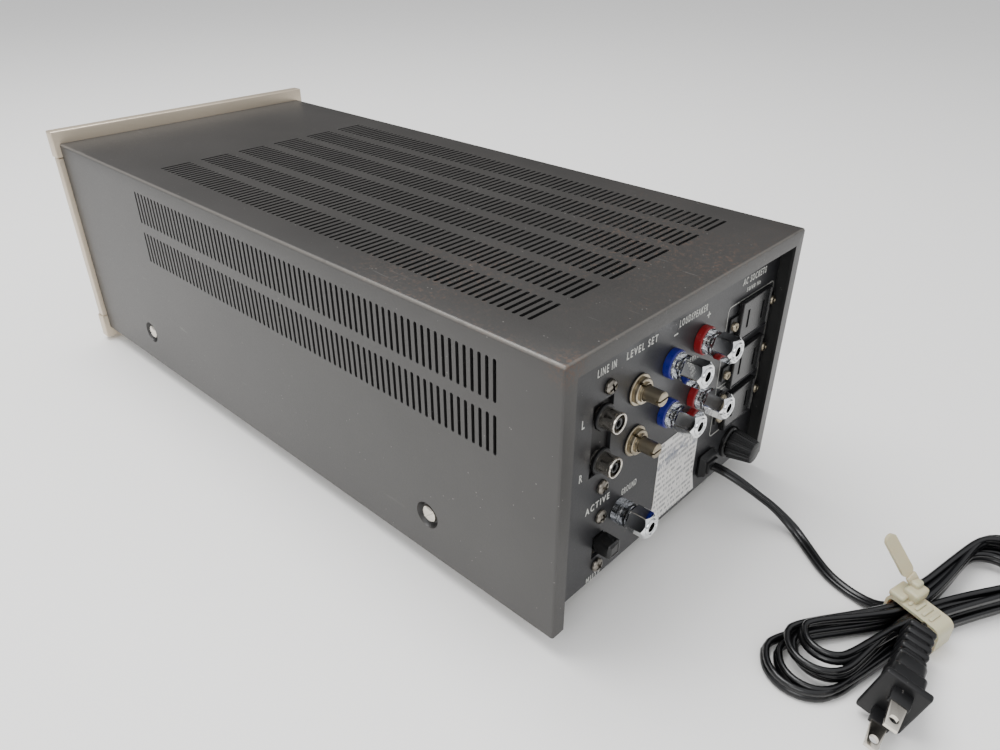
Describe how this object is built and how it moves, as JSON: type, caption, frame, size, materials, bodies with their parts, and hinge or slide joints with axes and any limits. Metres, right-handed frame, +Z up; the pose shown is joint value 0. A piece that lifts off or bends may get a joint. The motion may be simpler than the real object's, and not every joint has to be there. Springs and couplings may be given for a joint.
{
  "type": "stereo power amplifier",
  "caption": "Compact stereo power amplifier: vented steel cover, framed front, recessed rear panel with jacks, binding posts, mains outlets, level shafts and a tied mains lead.",
  "frame": {"origin": "centre of the bottom of the amplifier without its lead, on the surface that its feet stand on", "axes": "+Z up, -Y out of the front, +Y out of the rear panel, +X to the right seen from the front"},
  "size_m": [0.1855, 0.5119, 0.1335],
  "materials": {
    "cover_paint": "worn satin dark warm grey paint over folded steel",
    "panel_paint": "satin charcoal paint",
    "zinc_steel": "dull zinc-plated steel",
    "champagne_metal": "satin champagne anodised aluminium",
    "bright_nickel": "bright nickel plate",
    "dull_nickel": "tarnished nickel on brass",
    "black_plastic": "moulded satin black plastic",
    "red_plastic": "glossy moulded red plastic",
    "blue_plastic": "glossy moulded blue plastic",
    "clear_plastic": "clear moulded plastic",
    "phenolic": "dark brown phenolic board",
    "label_foil": "printed foil label",
    "rubber_foot": "black rubber",
    "lamp_lens": "translucent amber-red lens",
    "transformer_iron": "black-dipped laminations and bells",
    "capacitor_sleeve": "shrunk plastic sleeve",
    "sink_black": "black anodised aluminium",
    "board": "phenolic circuit board",
    "cord_jacket": "glossy black vinyl twin flex",
    "tie_plastic": "aged cream plastic"
  },
  "bodies": {
    "amplifier": {"cover": "cover_paint", "cover_screw_front_left": "bright_nickel", "cover_screw_front_right": "bright_nickel", "cover_screw_rear_left": "bright_nickel", "cover_screw_rear_right": "bright_nickel", "chassis_pan": "zinc_steel", "foot_front_left": "rubber_foot", "foot_front_right": "rubber_foot", "foot_rear_left": "rubber_foot", "foot_rear_right": "rubber_foot", "front_bezel": "champagne_metal", "front_panel": "panel_paint", "front_subpanel": "zinc_steel", "power_switch": "black_plastic", "pilot_lens": "lamp_lens", "rear_panel": "panel_paint", "input_plate": "phenolic", "input_jack_left": "bright_nickel", "input_jack_right": "bright_nickel", "input_screw_top": "zinc_steel", "input_screw_bottom": "zinc_steel", "mode_switch_body": "zinc_steel", "mode_screw_top": "zinc_steel", "mode_screw_bottom": "zinc_steel", "level_pot_left": "dull_nickel", "level_pot_right": "dull_nickel", "post_base_left_minus": "blue_plastic", "post_base_left_plus": "red_plastic", "post_base_right_minus": "blue_plastic", "post_base_right_plus": "red_plastic", "post_base_earth": "clear_plastic", "mains_outlet_1": "black_plastic", "mains_outlet_2": "black_plastic", "mains_outlet_3": "black_plastic", "fuse_holder": "black_plastic", "rating_label": "label_foil", "power_transformer": "transformer_iron", "filter_capacitor_left": "capacitor_sleeve", "filter_capacitor_right": "capacitor_sleeve", "heat_sink": "sink_black", "driver_board_left": "board", "driver_board_right": "board", "mains_cord": "cord_jacket", "cord_bushing": "black_plastic", "cord_hank": "cord_jacket", "cord_tie": "tie_plastic", "mains_plug": "black_plastic"},
    "level_shaft_left": {"level_shaft_left": "dull_nickel"},
    "level_shaft_right": {"level_shaft_right": "dull_nickel"},
    "post_cap_left_minus": {"post_cap_left_minus": "bright_nickel"},
    "post_cap_left_plus": {"post_cap_left_plus": "bright_nickel"},
    "post_cap_right_minus": {"post_cap_right_minus": "bright_nickel"},
    "post_cap_right_plus": {"post_cap_right_plus": "bright_nickel"},
    "post_cap_earth": {"post_cap_earth": "bright_nickel"},
    "mode_lever": {"mode_lever": "black_plastic"},
    "fuse_cap": {"fuse_cap": "black_plastic"},
    "power_button": {"power_button": "champagne_metal"}
  },
  "joints": [
    {"name": "level_turn_left", "type": "hinge", "parent": "amplifier", "child": "level_shaft_left", "pos_m": [0.0262, 0.17965, 0.091], "axis": [0, 1, 0], "range_deg": [-150, 150]},
    {"name": "level_turn_right", "type": "hinge", "parent": "amplifier", "child": "level_shaft_right", "pos_m": [0.0259, 0.17965, 0.0679], "axis": [0, 1, 0], "range_deg": [-150, 150]},
    {"name": "post_turn_left_minus", "type": "hinge", "parent": "amplifier", "child": "post_cap_left_minus", "pos_m": [0.005, 0.17965, 0.0935], "axis": [0, 1, 0], "range_deg": [0, 1080]},
    {"name": "post_turn_left_plus", "type": "hinge", "parent": "amplifier", "child": "post_cap_left_plus", "pos_m": [-0.017, 0.17965, 0.0952], "axis": [0, 1, 0], "range_deg": [0, 1080]},
    {"name": "post_turn_right_minus", "type": "hinge", "parent": "amplifier", "child": "post_cap_right_minus", "pos_m": [0.0047, 0.17965, 0.0708], "axis": [0, 1, 0], "range_deg": [0, 1080]},
    {"name": "post_turn_right_plus", "type": "hinge", "parent": "amplifier", "child": "post_cap_right_plus", "pos_m": [-0.0177, 0.17965, 0.0688], "axis": [0, 1, 0], "range_deg": [0, 1080]},
    {"name": "post_turn_earth", "type": "hinge", "parent": "amplifier", "child": "post_cap_earth", "pos_m": [0.0326, 0.17965, 0.0379], "axis": [0, 1, 0], "range_deg": [0, 1080]},
    {"name": "mode_slide", "type": "slide", "parent": "amplifier", "child": "mode_lever", "axis": [0, 0, -1], "range_m": [0, 0.005]},
    {"name": "fuse_turn", "type": "hinge", "parent": "amplifier", "child": "fuse_cap", "pos_m": [-0.0582, 0.17965, 0.0237], "axis": [0, 1, 0], "range_deg": [0, 60]},
    {"name": "power_press", "type": "slide", "parent": "amplifier", "child": "power_button", "axis": [0, 1, 0], "range_m": [0, 0.003], "stiffness_N_per_m": 600}
  ]
}
